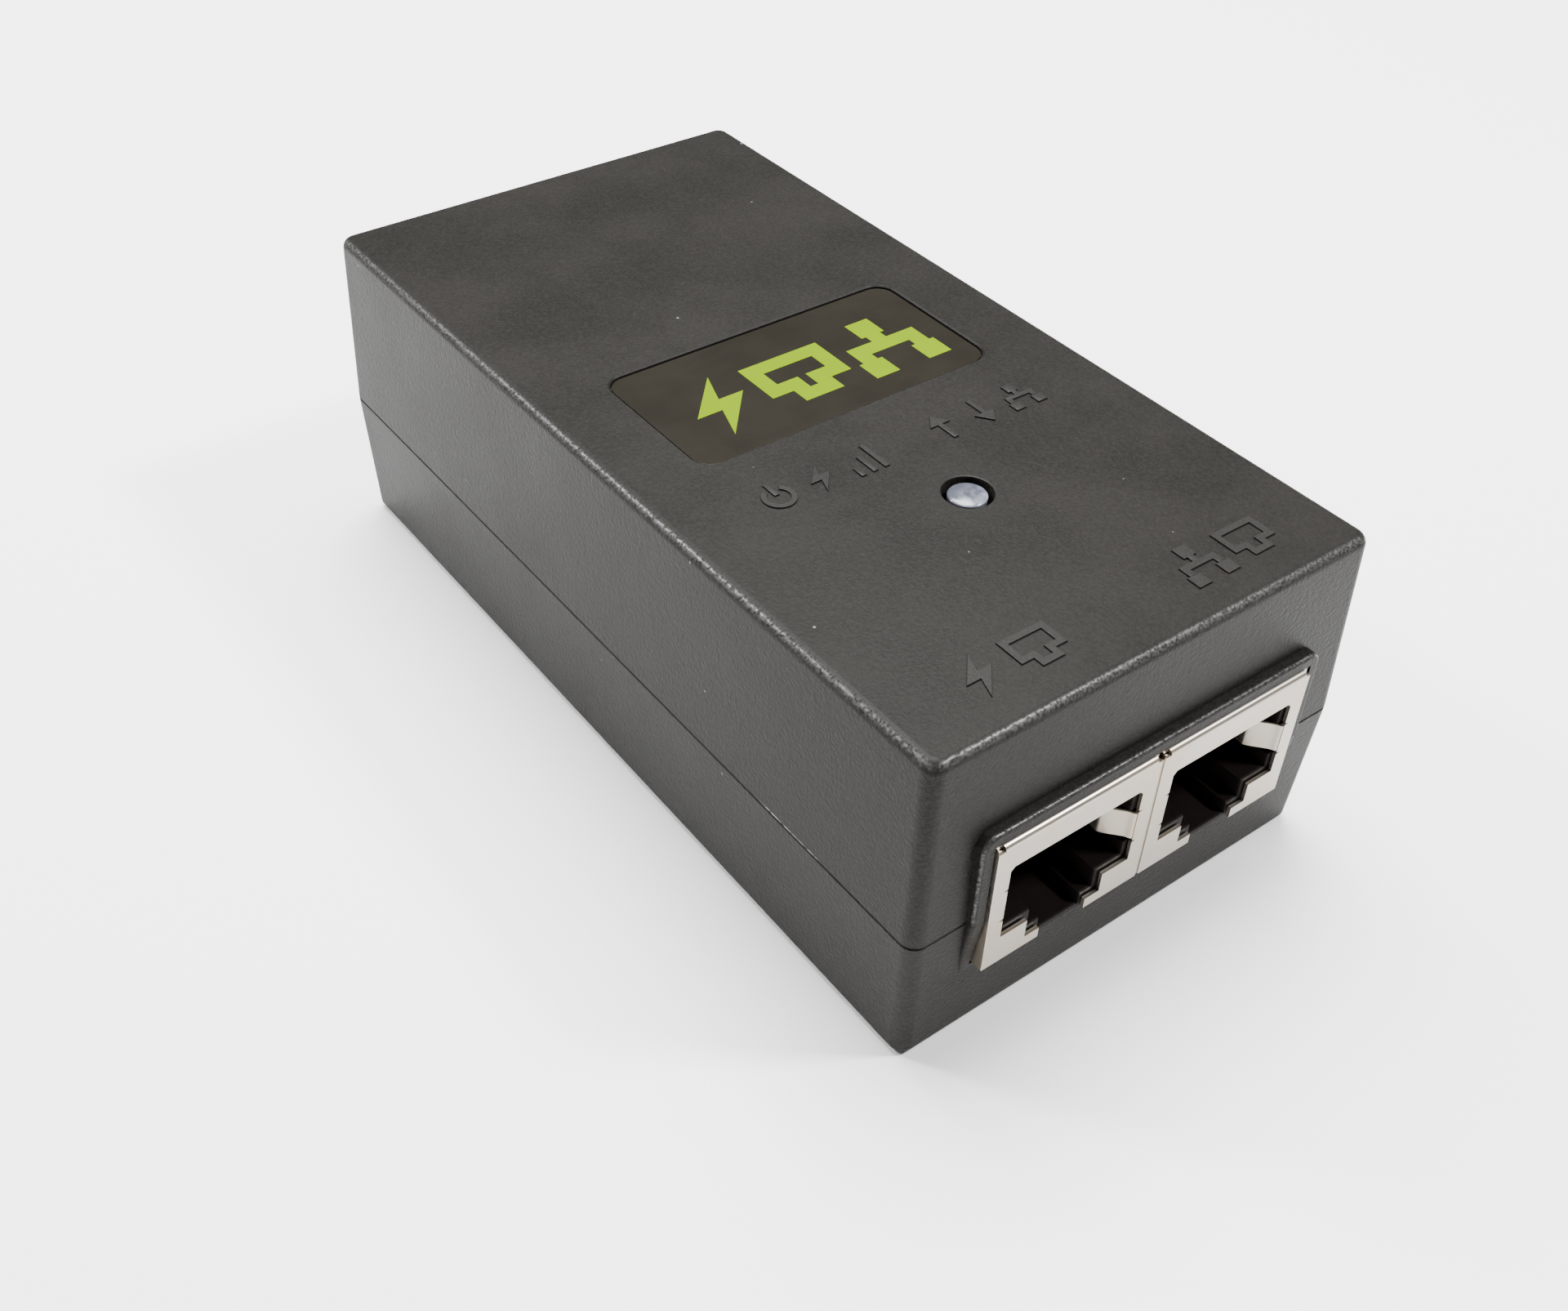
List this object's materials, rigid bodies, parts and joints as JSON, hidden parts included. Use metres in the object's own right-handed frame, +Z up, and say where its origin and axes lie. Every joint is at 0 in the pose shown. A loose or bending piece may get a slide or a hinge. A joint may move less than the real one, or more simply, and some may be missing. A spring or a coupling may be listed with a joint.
{
  "type": "poe injector",
  "caption": "Desktop power-over-Ethernet injector: two-part black case with side-by-side shielded network jacks at one end and a cloverleaf mains inlet at the other.",
  "frame": {"origin": "middle of the underside, midway between the faces of the jacks and the face of the inlet", "axes": "+Z up, +Y from the jacks towards the mains inlet, +X to the right when the jacks are looked at"},
  "size_m": [0.045, 0.089, 0.031],
  "materials": {
    "case_plastic": "black moulded plastic with a fine spark-eroded grain",
    "label_film": "smooth black label film with yellow-green pictograms",
    "base_paper": "blank pale label",
    "nickel_sheet": "bright nickel-plated sheet steel",
    "black_moulding": "plain black moulding",
    "gold_contact": "gold-flashed spring wire",
    "clear_epoxy": "clear cast epoxy",
    "tinned_metal": "tinned or nickel-plated solid metal",
    "board_laminate": "green solder mask on glass laminate",
    "insulating_film": "thin translucent polyester film",
    "black_package": "black moulding compound",
    "green_coating": "dipped green coating",
    "blue_coating": "dipped blue coating",
    "yellow_case": "yellow case or polyester tape",
    "enamelled_copper": "enamelled copper wire",
    "capacitor_sleeve": "dark shrink sleeve on an aluminium can",
    "ferrite": "dark grey sintered ferrite",
    "bare_aluminium": "bare rolled aluminium"
  },
  "bodies": {
    "housing": {"upper_shell": "case_plastic", "lower_shell": "case_plastic", "top_label": "label_film", "base_label": "base_paper", "inlet_body": "black_moulding", "live_pin": "tinned_metal", "neutral_pin": "tinned_metal", "earth_pin": "tinned_metal", "indicator_body": "clear_epoxy", "indicator_stand": "black_moulding", "indicator_red_lead": "tinned_metal", "indicator_common_lead": "tinned_metal", "indicator_green_lead": "tinned_metal", "circuit_board": "board_laminate", "insulation_film": "insulating_film", "mains_fuse": "black_package", "inrush_thermistor": "green_coating", "mains_filter_capacitor": "yellow_case", "mains_choke": "enamelled_copper", "bridge_rectifier": "black_package", "mains_capacitor": "capacitor_sleeve", "transformer_core": "ferrite", "transformer_winding": "yellow_case", "switch_transistor": "black_package", "switch_heat_sink": "bare_aluminium", "output_diode": "black_package", "output_heat_sink": "bare_aluminium", "output_capacitor_1": "capacitor_sleeve", "output_capacitor_2": "capacitor_sleeve", "output_choke": "enamelled_copper", "feedback_optocoupler": "black_package", "safety_capacitor": "blue_coating", "power_controller": "black_package", "left_port_shield": "nickel_sheet", "left_port_insert": "black_moulding", "right_port_shield": "nickel_sheet", "right_port_insert": "black_moulding"},
    "left_port_contacts": {"left_port_contact_1": "gold_contact", "left_port_contact_2": "gold_contact", "left_port_contact_3": "gold_contact", "left_port_contact_4": "gold_contact", "left_port_contact_5": "gold_contact", "left_port_contact_6": "gold_contact", "left_port_contact_7": "gold_contact", "left_port_contact_8": "gold_contact"},
    "right_port_contacts": {"right_port_contact_1": "gold_contact", "right_port_contact_2": "gold_contact", "right_port_contact_3": "gold_contact", "right_port_contact_4": "gold_contact", "right_port_contact_5": "gold_contact", "right_port_contact_6": "gold_contact", "right_port_contact_7": "gold_contact", "right_port_contact_8": "gold_contact"}
  },
  "joints": [
    {"name": "left_contacts_flex", "type": "hinge", "parent": "housing", "child": "left_port_contacts", "pos_m": [-0.00815, -0.0406, 0.01895], "axis": [1, 0, 0], "range_deg": [0, 12], "stiffness_Nm_per_rad": 0.3},
    {"name": "right_contacts_flex", "type": "hinge", "parent": "housing", "child": "right_port_contacts", "pos_m": [0.00815, -0.0406, 0.01895], "axis": [1, 0, 0], "range_deg": [0, 12], "stiffness_Nm_per_rad": 0.3}
  ]
}
